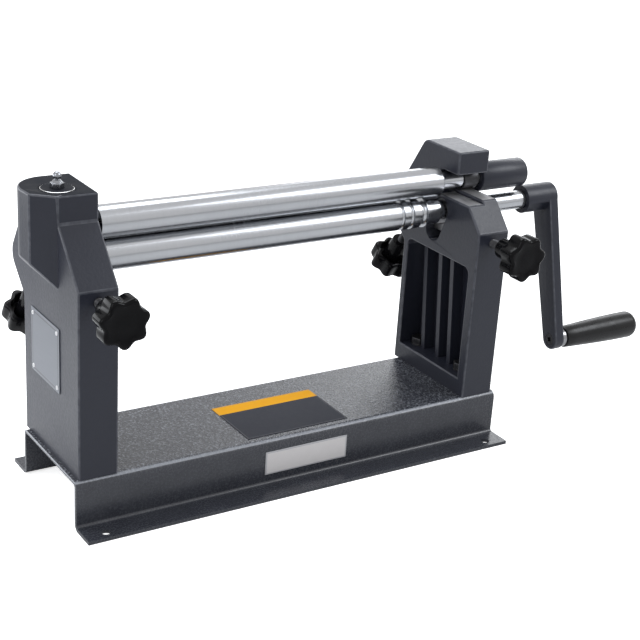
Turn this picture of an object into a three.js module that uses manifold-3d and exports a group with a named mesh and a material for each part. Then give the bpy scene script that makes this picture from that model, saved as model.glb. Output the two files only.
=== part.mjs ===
import * as THREE from "three";
import { mergeVertices } from "three/addons/utils/BufferGeometryUtils.js";
import Module from "manifold-3d";

// A bench slip roll in millimetres. X runs along the rolls to the crank, Y to the rear, Z up.
// Places count from the middle of the base's underside until the last lines, which move the
// whole machine so that its origin is the middle of its footprint.

// Fits
const clearance = 0.3; // between pieces that seat on or run in each other
const overrun = 5; // how far a cut runs past the face that it opens

// Rolls
const rollRadius = 12.7;
const rollPinch = 0.6; // between the two front rolls when they are closed
const frontRollY = 6; // both front rolls lie this far behind the base's middle
const upperRollZ = 222;
const rearRollZ = 183;
const rearRollSetback = 3; // from the frames' rear face to the rear roll's axis
const rollEndChamfer = 3;
const journalRadius = 7.5;

// Base channel, folded from one sheet
const baseLength = 396;
const baseHeight = 41;
const baseTopWidth = 104;
const baseWidth = 150;
const baseSheet = 3;
const baseBend = 5.5;

// Side frames, which stand on the base's top. Both castings share one outline.
const frameThickness = 31.8;
const frameInset = 3; // from the base's end to a frame's outer face
const frameSetback = 2.2; // from the base's front edge to the frames' front
const frameOverhang = 3; // from the base's rear edge to the frames' rear
const noseZ = 190; // top of the upright front face
const capFrontY = -13.7;
const capLip = 1.4; // the cap's front ends this far below the mouth's top
const capThickness = 19.6;
const mouthRadius = 9.4; // half the height of the right frame's open mouth

// Bearing blocks and the guides that lead them
const blockRadius = 10;
const blockThickness = 22;
const blockInset = 2; // from a frame's inner face to the block
const frontLean = THREE.MathUtils.degToRad(22);
const rearLean = THREE.MathUtils.degToRad(33);
const frontDrop = 5; // how far the lower roll goes down
const frontLift = 0.4;
const rearLift = 26;

// Adjusting screws and knobs
const screwInset = 16; // from a frame's outer face to its front screw
const rearScrewInsets = { left: 19.4, right: 11.6 };
const frontScrewZ = 181;
const screwRadius = 4;
const knobRadius = 20;
const knobLength = 34;
const knobBore = 18; // how deep a screw goes into its knob

// Swivel post for the upper roll, in the left frame
const postInset = 8; // from the left frame's outer face to the post's axis
const postRadius = 13.4;

// Crank
const crankRadius = 131.2;
const crankLean = THREE.MathUtils.degToRad(15.5);
const crankShaftRadius = 8.3;
const hubGap = 57; // from the right frame to the crank's hub
const hubRadius = 12.6;
const hubLength = 24;
const armThickness = 10;
const gripLength = 88;

// Places that follow from the sizes above
const outerX = baseLength / 2 - frameInset;
const innerX = outerX - frameThickness;
const frameFrontY = frameSetback - baseTopWidth / 2;
const frameRearY = baseTopWidth / 2 + frameOverhang;
const rearRollY = frameRearY + rearRollSetback;
const screwX = outerX - screwInset;
const postX = postInset - outerX;
const hubStartX = outerX + hubGap;
const lowerRollZ = upperRollZ - 2 * rollRadius - rollPinch;
const mouthTopZ = upperRollZ + mouthRadius;
const frameTopZ = mouthTopZ + capThickness;
const guideRadius = blockRadius + clearance;
const guideDepth = blockInset + blockThickness + 2 * clearance;
const sides = { left: -1, right: 1 };

// Roundness: sides of a large, a middling and a small cylinder
const largeSides = 32;
const middleSides = 24;
const smallSides = 16;

const paint = new THREE.MeshStandardMaterial({ color: 0x3d424b, roughness: 0.55, metalness: 0.2 });
const steel = new THREE.MeshStandardMaterial({ color: 0xb9bcc2, roughness: 0.3, metalness: 1 });
const darkSteel = new THREE.MeshStandardMaterial({ color: 0x3a3b3e, roughness: 0.45, metalness: 0.8 });
const castIron = new THREE.MeshStandardMaterial({ color: 0x6b6c6e, roughness: 0.6, metalness: 0.9 });
const plastic = new THREE.MeshStandardMaterial({ color: 0x0c0c0d, roughness: 0.25, metalness: 0 });
const plateMetal = new THREE.MeshStandardMaterial({ color: 0xa3a5a8, roughness: 0.4, metalness: 0.8 });
const labelFilm = new THREE.MeshStandardMaterial({ color: 0x8c6f2e, roughness: 0.5, metalness: 0 });

const wasm = await Module();
wasm.setup();

// A closed three.js geometry as a solid that can be joined and cut.
function solidOf(geometry) {
  const bare = new THREE.BufferGeometry();
  bare.setAttribute("position", geometry.getAttribute("position"));
  bare.setIndex(geometry.index);
  const merged = mergeVertices(bare);
  const corners = merged.index.array;
  const kept = [];
  for (let i = 0; i < corners.length; i += 3) {
    const [a, b, c] = corners.subarray(i, i + 3);
    if (a !== b && b !== c && c !== a) kept.push(a, b, c);
  }
  return new wasm.Manifold(
    new wasm.Mesh({
      numProp: 3,
      vertProperties: merged.getAttribute("position").array,
      triVerts: new Uint32Array(kept),
    }),
  );
}

function geometryOf(solid) {
  const mesh = solid.getMesh();
  const places = new Float32Array(mesh.numVert * 3);
  for (let i = 0; i < mesh.numVert; i++) {
    const start = i * mesh.numProp;
    places.set(mesh.vertProperties.subarray(start, start + 3), i * 3);
  }
  const shared = new THREE.BufferGeometry();
  shared.setAttribute("position", new THREE.BufferAttribute(places, 3));
  shared.setIndex(new THREE.BufferAttribute(mesh.triVerts, 1));
  const faceted = shared.toNonIndexed();
  faceted.computeVertexNormals();
  return faceted;
}

function inOrder(a, b) {
  return a < b ? [a, b] : [b, a];
}

// A box from its limits along X, Y and Z.
function box(...limits) {
  const sizes = limits.map(([low, high]) => high - low);
  const middle = limits.map(([low, high]) => (low + high) / 2);
  return solidOf(new THREE.BoxGeometry(...sizes).translate(...middle));
}

// Turns a geometry made along Y so that it lies along the named axis.
function laid(geometry, axis) {
  if (axis === "x") return geometry.rotateZ(-Math.PI / 2);
  if (axis === "z") return geometry.rotateX(Math.PI / 2);
  return geometry;
}

// A cylinder along an axis, from one distance to another, through the point at.
function rod(axis, radius, [start, end], at = [0, 0, 0], around = middleSides) {
  const length = end - start;
  const geometry = new THREE.CylinderGeometry(radius, radius, length, around);
  laid(geometry.translate(0, start + length / 2, 0), axis);
  return solidOf(geometry.translate(...at));
}

// An upright hexagon of a given width across its flats, which face along Y.
function hexagon(width, [start, end]) {
  const corner = width / 2 / Math.cos(Math.PI / 6);
  const geometry = new THREE.CylinderGeometry(corner, corner, end - start, 6);
  laid(geometry.rotateY(Math.PI / 6), "z");
  return solidOf(geometry.translate(0, 0, (start + end) / 2));
}

// A turned piece. Profile points are [distance along the axis, radius]; both ends are on the axis.
function turned(axis, profile, around = largeSides) {
  const points = profile.map(([along, radius]) => new THREE.Vector2(radius, along));
  return solidOf(laid(new THREE.LatheGeometry(points, around), axis));
}

// A closed outline, counter-clockwise. Each corner is [x, y], or [x, y, radius] where it is round.
function roundedShape(corners) {
  const shape = new THREE.Shape();
  corners.forEach(([x, y, radius = 0], i) => {
    const goTo = (point) => (i === 0 ? shape.moveTo(point.x, point.y) : shape.lineTo(point.x, point.y));
    const corner = new THREE.Vector2(x, y);
    if (radius === 0) {
      goTo(corner);
      return;
    }
    const [beforeX, beforeY] = corners.at(i - 1);
    const [afterX, afterY] = corners[(i + 1) % corners.length];
    const back = new THREE.Vector2(beforeX, beforeY).sub(corner).normalize();
    const on = new THREE.Vector2(afterX, afterY).sub(corner).normalize();
    const half = Math.acos(back.dot(on)) / 2;
    const reach = radius / Math.tan(half);
    const centre = back.clone().add(on).setLength(radius / Math.sin(half)).add(corner);
    const enter = back.clone().multiplyScalar(reach).add(corner);
    const leave = on.clone().multiplyScalar(reach).add(corner);
    const from = Math.atan2(enter.y - centre.y, enter.x - centre.x);
    const to = Math.atan2(leave.y - centre.y, leave.x - centre.x);
    goTo(enter);
    shape.absarc(centre.x, centre.y, radius, from, to, back.cross(on) > 0);
  });
  return shape;
}

// An outline pulled along an axis: (y, z) along X, (x, z) along Y, or (x, y) along Z.
// A lean turns the result about X, and at moves it.
function prism(axis, shape, [start, end], { arcSteps = 4, lean = 0, at = [0, 0, 0] } = {}) {
  const options = { depth: end - start, bevelEnabled: false, curveSegments: arcSteps };
  const geometry = new THREE.ExtrudeGeometry(shape, options);
  if (axis === "x") geometry.rotateX(Math.PI / 2).rotateZ(Math.PI / 2).translate(start, 0, 0);
  if (axis === "y") geometry.rotateX(Math.PI / 2).translate(0, end, 0);
  if (axis === "z") geometry.translate(0, 0, start);
  return solidOf(geometry.rotateX(lean).translate(...at));
}

// An upright slot outline, round at both ends, whose end centres lie at heights low and high.
function slotShape(radius, low, high) {
  const shape = new THREE.Shape();
  shape.absarc(0, low, radius, Math.PI, 2 * Math.PI);
  shape.absarc(0, high, radius, 0, Math.PI);
  return shape;
}

// An upright arch: flat at its foot and round at its top.
function archShape(radius, foot, high) {
  const shape = new THREE.Shape();
  shape.moveTo(-radius, foot);
  shape.lineTo(radius, foot);
  shape.absarc(0, high, radius, 0, Math.PI);
  return shape;
}

// Where two lines in a plane meet, each given by a point and a direction.
function meet(point, direction, other, otherDirection) {
  const between = new THREE.Vector2().subVectors(other, point);
  const share = between.cross(otherDirection) / direction.cross(otherDirection);
  return direction.clone().multiplyScalar(share).add(point);
}

function joined(first, ...rest) {
  return rest.reduce((whole, piece) => whole.add(piece), first);
}

function cut(solid, ...tools) {
  return tools.reduce((whole, tool) => whole.subtract(tool), solid);
}

function addPiece(parent, name, solid, material, position = [0, 0, 0]) {
  const mesh = new THREE.Mesh(geometryOf(solid), material);
  mesh.name = name;
  mesh.position.set(...position);
  parent.add(mesh);
}

function addGroup(parent, position, turnX = 0) {
  const group = new THREE.Group();
  group.position.set(...position);
  group.rotation.x = turnX;
  parent.add(group);
  return group;
}

// Bolts that hold the frames down. They stand on the floor of each frame's pocket.
const pocketFrontWall = 9.8; // thickness of a frame in front of its pocket
const pocketRearWall = 6;
const pocketFrontY = frameFrontY + pocketFrontWall;
const pocketRearY = frameRearY - pocketRearWall;
const boltInset = 17; // from a frame's outer face
const boltSetback = 14; // from the pocket's front
const boltRearGap = 3.7; // from the rear washer to the pocket's rear
const boltRadius = 4;
const boltHeadWidth = 13;
const boltHeadHeight = 5.5;
const washerRadius = 6.9;
const boltX = outerX - boltInset;
const boltPlaces = { front: pocketFrontY + boltSetback, rear: pocketRearY - boltRearGap - washerRadius };
const washerThickness = 1.6;
const nutHeight = 6.5;
const boltTail = 3; // thread that shows below the nut
const frameFoot = 15; // thickness of a frame's foot
const boltSeatZ = baseHeight + frameFoot;
const baseInsideZ = baseHeight - baseSheet;

// Folded base: top, two webs and two flanges, with a hole near each corner.
const baseHoleRadius = 3.75;
const baseHoleEndInset = 17.5; // from the base's end
const baseHoleEdgeInset = 8; // from a flange's edge
const baseHoleX = baseLength / 2 - baseHoleEndInset;
const baseHoleY = baseWidth / 2 - baseHoleEdgeInset;

function baseChannel() {
  const topHalf = baseTopWidth / 2;
  const innerBend = baseBend - baseSheet;
  const outline = roundedShape([
    [baseWidth / 2, 0],
    [baseWidth / 2, baseSheet],
    [topHalf, baseSheet, innerBend],
    [topHalf, baseHeight, baseBend],
    [-topHalf, baseHeight, baseBend],
    [-topHalf, baseSheet, innerBend],
    [-baseWidth / 2, baseSheet],
    [-baseWidth / 2, 0],
    [baseSheet - topHalf, 0, baseBend],
    [baseSheet - topHalf, baseInsideZ, innerBend],
    [topHalf - baseSheet, baseInsideZ, innerBend],
    [topHalf - baseSheet, 0, baseBend],
  ]);
  const holes = [];
  for (const side of Object.values(sides)) {
    for (const y of [-baseHoleY, baseHoleY]) {
      const at = [side * baseHoleX, y, 0];
      holes.push(rod("z", baseHoleRadius, [-overrun, baseSheet + overrun], at));
    }
    for (const y of Object.values(boltPlaces)) {
      const at = [side * boltX, y, 0];
      const span = [baseInsideZ - overrun, baseHeight + overrun];
      holes.push(rod("z", boltRadius + clearance, span, at, smallSides));
    }
  }
  return cut(prism("x", outline, [-baseLength / 2, baseLength / 2]), ...holes);
}

// Outline of both frames. The rear face runs along the rear guide, and a facet under the
// rear roll gives the slanted screw its wall.
const rearWall = 8.9;
const facetDrop = 19.9; // from the rear roll's axis to the facet, along the guide
const facetPitch = THREE.MathUtils.degToRad(43);
const noseRound = 3;
const capRound = 1.5;
const kneeRound = 6;
const tipRound = 14; // where the rear face turns under the rear roll
const topRound = 9;

function frameOutline() {
  const rearRoll = new THREE.Vector2(rearRollY, rearRollZ);
  const guide = new THREE.Vector2(-Math.sin(rearLean), Math.cos(rearLean));
  const across = new THREE.Vector2(Math.cos(rearLean), Math.sin(rearLean));
  const slope = across.multiplyScalar(guideRadius + rearWall).add(rearRoll);
  const facet = guide.clone().multiplyScalar(-facetDrop).add(rearRoll);
  const facetRun = new THREE.Vector2(Math.cos(facetPitch), Math.sin(facetPitch));
  const level = new THREE.Vector2(1, 0);
  const upright = new THREE.Vector2(0, 1);
  const topRear = meet(slope, guide, new THREE.Vector2(0, frameTopZ), level);
  const tip = meet(slope, guide, facet, facetRun);
  const knee = meet(facet, facetRun, new THREE.Vector2(frameRearY, 0), upright);
  return roundedShape([
    [frameRearY, baseHeight],
    [knee.x, knee.y, kneeRound],
    [tip.x, tip.y, tipRound],
    [topRear.x, topRear.y, topRound],
    [capFrontY, frameTopZ, capRound],
    [capFrontY, mouthTopZ - capLip],
    [frameFrontY, noseZ, noseRound],
    [frameFrontY, baseHeight],
  ]);
}

// The pocket in a frame's inner face, with upright ribs on its back wall.
const pocketTopZ = 157;
const pocketDepth = 23;
const pocketRound = 6;
const ribThickness = 5;
const ribDepth = 11;
const ribSetback = 15; // from the front bolt to the first rib
const rearRibGap = 1.2; // from the rear rib's foot to the rear washer
const middleRibY = 6;
const ribLean = THREE.MathUtils.degToRad(5); // rearwards, from foot to top
const ribPlaces = [
  boltPlaces.front + ribSetback,
  middleRibY,
  boltPlaces.rear - washerRadius - rearRibGap - ribThickness / 2,
];

function pocketCut(side) {
  const outline = roundedShape([
    [pocketRearY, boltSeatZ],
    [pocketRearY, pocketTopZ, pocketRound],
    [pocketFrontY, pocketTopZ, pocketRound],
    [pocketFrontY, boltSeatZ],
  ]);
  const backX = innerX + pocketDepth;
  const hollow = prism("x", outline, inOrder(side * (innerX - overrun), side * backX));
  const ribXs = inOrder(side * (backX - ribDepth), side * (backX + overrun));
  const ribZs = [boltSeatZ - overrun, pocketTopZ + overrun];
  const drift = Math.tan(ribLean) * (ribZs[1] - ribZs[0]);
  const ribs = ribPlaces.map((y) => {
    const footYs = [y - ribThickness / 2, y + ribThickness / 2];
    const foot = footYs.map((footY) => [footY, ribZs[0]]);
    const top = footYs.reverse().map((footY) => [footY + drift, ribZs[1]]);
    return prism("x", roundedShape([...foot, ...top]), ribXs);
  });
  return cut(hollow, ...ribs);
}

// Front adjustment: a wedge slides in a channel under the front block's slanted foot.
const wedgePitch = THREE.MathUtils.degToRad(20);
const wedgeWidth = 14;
const wedgeHeight = 16;
const wedgeNose = 3.5;
const wedgeShank = 16.4; // its length at full height
const wedgeTravelIn = 0.9;
const footDrop = 15.6; // from the lower roll's axis to the block's foot, along the guide
const guideTail = 21.8; // from the lower roll's axis to the centre of the guide's lower round
const frontWall = 11.8; // the screw's wall at a frame's front
const wedgeTopZ = frontScrewZ + wedgeHeight / 2;
const footY = frontRollY + footDrop * Math.sin(frontLean);
const footZ = lowerRollZ - footDrop * Math.cos(frontLean) - clearance / Math.cos(wedgePitch);
const slopeStartY = footY - (wedgeTopZ - footZ) / Math.tan(wedgePitch);
const wedgeFrontY = slopeStartY - wedgeShank;
const wedgeRearY = slopeStartY + (wedgeHeight - wedgeNose) / Math.tan(wedgePitch);

// Rear adjustment: the slanted screw's tip carries the rear block's flat tail.
const rearTail = 12; // from the rear roll's axis to the tail

function rearScrewX(sideName) {
  return sides[sideName] * (outerX - rearScrewInsets[sideName]);
}

// Cuts in a frame for what moves in it: both guides, the wedge channel and the screws' holes.
function guideCuts(sideName) {
  const side = sides[sideName];
  const guideXs = inOrder(side * (innerX - overrun), side * (innerX + guideDepth));
  const frontAt = { arcSteps: 8, lean: frontLean, at: [0, frontRollY, lowerRollZ] };
  const rearAt = { arcSteps: 8, lean: rearLean, at: [0, rearRollY, rearRollZ] };
  const frontShape = slotShape(guideRadius, -guideTail, frontLift + clearance);
  const rearShape = archShape(guideRadius, -rearTail - clearance, rearLift + clearance);

  const channelXs = inOrder(
    side * (screwX - wedgeWidth / 2 - clearance),
    side * (screwX + wedgeWidth / 2 + clearance),
  );
  const channelYs = [frameFrontY + frontWall, wedgeRearY + wedgeTravelIn + 2 * clearance];
  const channelHalf = wedgeHeight / 2 + clearance;
  const channelZs = [frontScrewZ - channelHalf, frontScrewZ + channelHalf];
  const holeRadius = screwRadius + clearance;
  const frontHole = [frameFrontY - overrun, frameFrontY + frontWall + overrun];
  const rearHole = new THREE.CylinderGeometry(holeRadius, holeRadius, facetDrop + overrun, middleSides);
  rearHole.translate(0, -(facetDrop + overrun) / 2 - rearTail, 0).rotateX(Math.PI / 2 + rearLean);
  return [
    prism("x", frontShape, guideXs, frontAt),
    prism("x", rearShape, guideXs, rearAt),
    box(channelXs, channelYs, channelZs),
    rod("y", holeRadius, frontHole, [side * screwX, 0, frontScrewZ]),
    solidOf(rearHole.translate(rearScrewX(sideName), rearRollY, rearRollZ)),
  ];
}

function boltHoles(side) {
  return Object.values(boltPlaces).map((y) => {
    const span = [baseHeight - overrun, boltSeatZ + overrun];
    return rod("z", boltRadius + clearance, span, [side * boltX, y, 0], smallSides);
  });
}

// The rough casting reaches inwards past its inner face, and the last cut trims that face flat.
function sideBody(side) {
  const xs = inOrder(side * (innerX - overrun), side * outerX);
  return prism("x", frameOutline(), xs, { arcSteps: 5 });
}

function sideCuts(sideName) {
  const side = sides[sideName];
  const beyond = [-2 * frameTopZ, 2 * frameTopZ];
  const trim = box(inOrder(side * innerX, side * (innerX - 2 * overrun)), beyond, beyond);
  return [pocketCut(side), ...guideCuts(sideName), ...boltHoles(side), trim];
}

// Right frame: an open mouth lets the upper roll's end swing out to the front. Its inner half
// is a little deeper, and a narrower slot lets the crank shaft through.
const mouthStep = 3;
const bushLength = 14.5;
const bushEndGap = 0.5; // from the bush's outer end to the frame's outer face
const shaftSlotRadius = 9.5;

function rightFrame() {
  const stepX = outerX - bushEndGap - bushLength - 2 * clearance;
  const mouth = (floorZ) =>
    roundedShape([
      [frameFrontY - overrun, floorZ],
      [frontRollY + mouthRadius, floorZ, mouthRadius - clearance],
      [frontRollY + mouthRadius, mouthTopZ, mouthRadius - clearance],
      [frameFrontY - overrun, mouthTopZ],
    ]);
  const seatZ = upperRollZ - mouthRadius;
  const shaftSlot = slotShape(shaftSlotRadius, -frontDrop - clearance, frontLift + clearance);
  const shaftSlotAt = { arcSteps: 8, lean: frontLean, at: [0, frontRollY, lowerRollZ] };
  return cut(
    sideBody(sides.right),
    ...sideCuts("right"),
    prism("x", mouth(seatZ), [innerX - overrun, outerX + overrun], { arcSteps: 6 }),
    prism("x", mouth(seatZ - mouthStep), [innerX - overrun, stepX], { arcSteps: 6 }),
    prism("x", shaftSlot, [innerX, outerX + overrun], shaftSlotAt),
  );
}

// Left frame: a round housing for the swivel post stands out of its outer face at the top.
const housingRadius = 26.5;
const housingInset = 9; // from the frame's outer face to the housing's axis
const housingX = housingInset - outerX;
const housingY = 13.5;
const housingFlatReach = 16.5; // from the frame's outer face to the end of the flat at its front
const housingFlatX = -outerX - housingFlatReach;
const housingFlatY = -0.3;
const housingFootZ = 180; // where the tapered underside meets the frame
const housingRimZ = 199; // where it meets the housing's side
const postFloorZ = 210;
const windowFrontY = -10.2;
const windowRearY = 14;
const windowHalf = 8.3;

function leftFrame() {
  const plan = new THREE.Shape();
  plan.moveTo(overrun - innerX, frontRollY);
  plan.lineTo(overrun - innerX, housingY + housingRadius);
  plan.lineTo(housingX, housingY + housingRadius);
  plan.absarc(housingX, housingY, housingRadius, Math.PI / 2, Math.PI);
  plan.lineTo(housingFlatX, housingFlatY);
  plan.lineTo(-outerX, capFrontY);
  const housing = prism("z", plan, [housingFootZ, frameTopZ], { arcSteps: 14 });
  const rimX = housingX - housingRadius;
  const under = new THREE.Shape();
  under.moveTo(rimX - overrun, housingFootZ - overrun);
  under.lineTo(-outerX, housingFootZ - overrun);
  under.lineTo(-outerX, housingFootZ);
  under.lineTo(rimX, housingRimZ);
  under.lineTo(rimX - overrun, housingRimZ);
  const taper = prism("y", under, [housingY - 2 * housingRadius, housingY + 2 * housingRadius]);
  const bore = rod("z", postRadius + clearance, [postFloorZ, frameTopZ + overrun], [postX, frontRollY, 0]);
  const windowZs = [upperRollZ - windowHalf, upperRollZ + windowHalf];
  const window = box([postX, 2 * overrun - innerX], [windowFrontY, windowRearY], windowZs);
  const rough = joined(sideBody(sides.left), cut(housing, taper));
  return cut(rough, ...sideCuts("left"), bore, window);
}

// Rolls. The lower and rear rolls carry wire grooves near their right ends.
const rollLeftGap = 3; // from the left frame to the rolls
const rollRightGap = 5.2;
const lowerRollGap = 6.4; // from the right frame to the lower roll
const upperRollStartX = rollLeftGap - innerX;
const upperRollEndX = innerX - rollRightGap;
const lowerRollEndX = innerX - lowerRollGap;
// Each groove's inset runs from the right frame to the groove's left edge.
const grooves = [
  { inset: 48.9, width: 3.4 },
  { inset: 39.5, width: 4 },
  { inset: 27.8, width: 6 },
];
const grooveDepthShare = 0.55; // of a groove's width
const grooveLeadShare = 0.25; // of a groove's width, on each slanted side
const collarInset = 20.9; // from the right frame to the start of the rolls' collar
const collarStartX = innerX - collarInset;
const collarRadius = 11.2;
const collarGap = 0.8; // width of the turned line before the collar
const collarGapDepth = 0.8;
const collarChamfer = 1;
const journalTipX = innerX + guideDepth - 2 * clearance;
const crankEndX = hubStartX + hubLength + armThickness;
const shaftEndX = crankEndX - clearance;

// The body of a grooved roll between its journals, from left to right.
function groovedBody(endX) {
  const profile = [
    [upperRollStartX, rollRadius - rollEndChamfer],
    [upperRollStartX + rollEndChamfer, rollRadius],
  ];
  for (const { inset, width } of grooves) {
    const startX = innerX - inset;
    const floor = rollRadius - width * grooveDepthShare;
    const lead = width * grooveLeadShare;
    profile.push([startX, rollRadius], [startX + lead, floor]);
    profile.push([startX + width - lead, floor], [startX + width, rollRadius]);
  }
  const gapEndX = collarStartX + collarGap;
  const gapRadius = collarRadius - collarGapDepth;
  profile.push([collarStartX, rollRadius], [collarStartX, gapRadius]);
  profile.push([gapEndX, gapRadius], [gapEndX, collarRadius]);
  profile.push([endX - collarChamfer, collarRadius], [endX, collarRadius - collarChamfer]);
  return profile;
}

// The lower roll goes on through the right frame as the crank shaft.
function lowerRoll() {
  return turned("x", [
    [-journalTipX, 0],
    [-journalTipX, crankShaftRadius],
    [upperRollStartX, crankShaftRadius],
    ...groovedBody(lowerRollEndX),
    [lowerRollEndX, crankShaftRadius],
    [shaftEndX, crankShaftRadius],
    [shaftEndX, 0],
  ]);
}

function rearRoll() {
  return turned("x", [
    [-journalTipX, 0],
    [-journalTipX, journalRadius],
    [upperRollStartX, journalRadius],
    ...groovedBody(upperRollEndX),
    [upperRollEndX, journalRadius],
    [journalTipX, journalRadius],
    [journalTipX, 0],
  ]);
}

// The upper roll's left journal sits in the swivel post, held by a pin in its groove, and its
// right journal runs through the bush to the release handle.
const journalDepth = 9.5; // how far the left journal goes past the post's axis
const keeperRadius = 2;
const keeperX = -6; // from the post's axis
const keeperY = 8.2; // from the roll's axis
const handleGap = 2.5; // from the right frame to the handle
const handleLength = 49.5;
const handleWall = 4; // the handle's closed end
const handleRound = 2;
const handleStartX = outerX + handleGap;
const handleEndX = handleStartX + handleLength;
const journalRightX = handleEndX - handleWall - clearance;

function upperRoll() {
  const leftX = postX - journalDepth;
  const grooveFloor = keeperY - keeperRadius - clearance;
  const grooveHalf = keeperRadius + clearance;
  const grooveX = postX + keeperX;
  return turned("x", [
    [leftX, 0],
    [leftX, journalRadius],
    [grooveX - grooveHalf, journalRadius],
    [grooveX - grooveHalf, grooveFloor],
    [grooveX + grooveHalf, grooveFloor],
    [grooveX + grooveHalf, journalRadius],
    [upperRollStartX, journalRadius],
    [upperRollStartX, rollRadius - rollEndChamfer],
    [upperRollStartX + rollEndChamfer, rollRadius],
    [upperRollEndX - rollEndChamfer, rollRadius],
    [upperRollEndX, rollRadius - rollEndChamfer],
    [upperRollEndX, journalRadius],
    [journalRightX, journalRadius],
    [journalRightX, 0],
  ]);
}

function upperBush() {
  const end = outerX - bushEndGap;
  const outer = rod("x", mouthRadius - clearance, [end - bushLength, end]);
  return cut(outer, rod("x", journalRadius + clearance, [end - bushLength - overrun, end + overrun]));
}

const handlePinRadius = 2;
const handlePinX = handleStartX + 12;

function releaseHandle() {
  const outer = turned("x", [
    [handleStartX, 0],
    [handleStartX, rollRadius - handleRound],
    [handleStartX + handleRound, rollRadius],
    [handleEndX - handleRound, rollRadius],
    [handleEndX, rollRadius - handleRound],
    [handleEndX, 0],
  ]);
  const bore = rod("x", journalRadius + clearance, [handleStartX - overrun, handleEndX - handleWall]);
  const reach = rollRadius + overrun;
  return cut(outer, bore, rod("y", handlePinRadius + clearance, [0, reach], [handlePinX, 0, 0], smallSides));
}

// A set screw from the handle's rear, down to the journal.
function handlePin() {
  const end = Math.sqrt(rollRadius ** 2 - handlePinRadius ** 2) - clearance;
  return rod("y", handlePinRadius, [journalRadius + clearance, end], [0, 0, 0], smallSides);
}

// Swivel post: an upright pivot with a crosswise bore for the upper roll's journal.
const postChamfer = 1;
const postProud = 0.5; // how far it stands above the frame
const keeperCover = 8; // metal above the keeper pin's hole
const nippleHoleRadius = 3;
const nippleHoleDepth = 6;

function swivelPost() {
  const foot = postFloorZ + clearance - upperRollZ;
  const top = frameTopZ + postProud - upperRollZ;
  const outer = turned("z", [
    [foot, 0],
    [foot, postRadius],
    [top - postChamfer, postRadius],
    [top, postRadius - postChamfer],
    [top, 0],
  ]);
  const borePlace = [-journalDepth - clearance, postRadius + overrun];
  const pinAt = [keeperX, keeperY, 0];
  return cut(
    outer,
    rod("x", journalRadius + clearance, borePlace),
    rod("z", keeperRadius + clearance, [foot - overrun, top - keeperCover], pinAt, smallSides),
    rod("z", nippleHoleRadius + clearance, [top - nippleHoleDepth, top + overrun], [0, 0, 0], smallSides),
  );
}

function keeperPin() {
  const foot = postFloorZ + 2 * clearance - upperRollZ;
  const top = frameTopZ + postProud - upperRollZ - keeperCover - clearance;
  return rod("z", keeperRadius, [foot, top], [0, 0, 0], smallSides);
}

// Grease nipple: threaded stem, hexagon, neck and ball.
const nippleHexWidth = 9.4;
const nippleHexHeight = 4;
const nippleNeckRadius = 2.7;
const nippleBallRadius = 3.2;
const nippleHeight = 12.2;

function greaseNipple() {
  const stemZs = [clearance - nippleHoleDepth, nippleHexHeight / 2];
  const stem = rod("z", nippleHoleRadius, stemZs, [0, 0, 0], smallSides);
  const hex = hexagon(nippleHexWidth, [0, nippleHexHeight]);
  const ballZ = nippleHeight - nippleBallRadius;
  const neck = rod("z", nippleNeckRadius, [nippleHexHeight / 2, ballZ], [0, 0, 0], smallSides);
  const ball = new THREE.SphereGeometry(nippleBallRadius, smallSides, smallSides / 2);
  return joined(hex, stem, neck, solidOf(ball.rotateX(Math.PI / 2).translate(0, 0, ballZ)));
}

// Bearing blocks, made with Z along their guide and the roll's axis at the origin.
function frontBlock() {
  const low = frontDrop + clearance - guideTail;
  const body = prism("x", slotShape(blockRadius, low, 0), [0, blockThickness], { arcSteps: 8 });
  const footTurn = -(wedgePitch + frontLean);
  const big = 4 * blockRadius;
  const below = new THREE.BoxGeometry(big, big, big).translate(0, 0, -big / 2);
  below.rotateX(footTurn).translate(blockThickness / 2, 0, -footDrop);
  const boreXs = [-overrun, blockThickness + overrun];
  return cut(body, solidOf(below), rod("x", crankShaftRadius + clearance, boreXs, [0, 0, 0], largeSides));
}

function rearBlock() {
  const body = prism("x", archShape(blockRadius, -rearTail, 0), [0, blockThickness], { arcSteps: 8 });
  return cut(body, rod("x", journalRadius + clearance, [-overrun, blockThickness + overrun]));
}

// Wedge: its thick end holds the screw's button in a slot that is open at the top.
const buttonRadius = 5;
const buttonThickness = 3.4;
const buttonNeckRadius = 2.6;
const buttonWall = 3.6;

function frontWedge() {
  const outline = new THREE.Shape();
  outline.moveTo(wedgeFrontY, -wedgeHeight / 2);
  outline.lineTo(wedgeRearY, -wedgeHeight / 2);
  outline.lineTo(wedgeRearY, wedgeNose - wedgeHeight / 2);
  outline.lineTo(slopeStartY, wedgeHeight / 2);
  outline.lineTo(wedgeFrontY, wedgeHeight / 2);
  const body = prism("x", outline, [-wedgeWidth / 2, wedgeWidth / 2]);
  const neckHalf = buttonNeckRadius + clearance;
  const buttonHalf = buttonRadius + clearance;
  const pocketStart = wedgeFrontY + buttonWall;
  const pocketEnd = pocketStart + buttonThickness + 2 * clearance;
  const topZ = wedgeHeight / 2 + overrun;
  return cut(
    body,
    box([-neckHalf, neckHalf], [wedgeFrontY - overrun, pocketEnd], [-neckHalf, topZ]),
    box([-buttonHalf, buttonHalf], [pocketStart, pocketEnd], [-buttonHalf, topZ]),
  );
}

// Front screw along Y: button, neck and thread up to its end in the knob.
const knobGap = 12.2; // from a frame's front face to a front knob's hub at rest
const frontKnobY = frameFrontY - knobGap;

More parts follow.
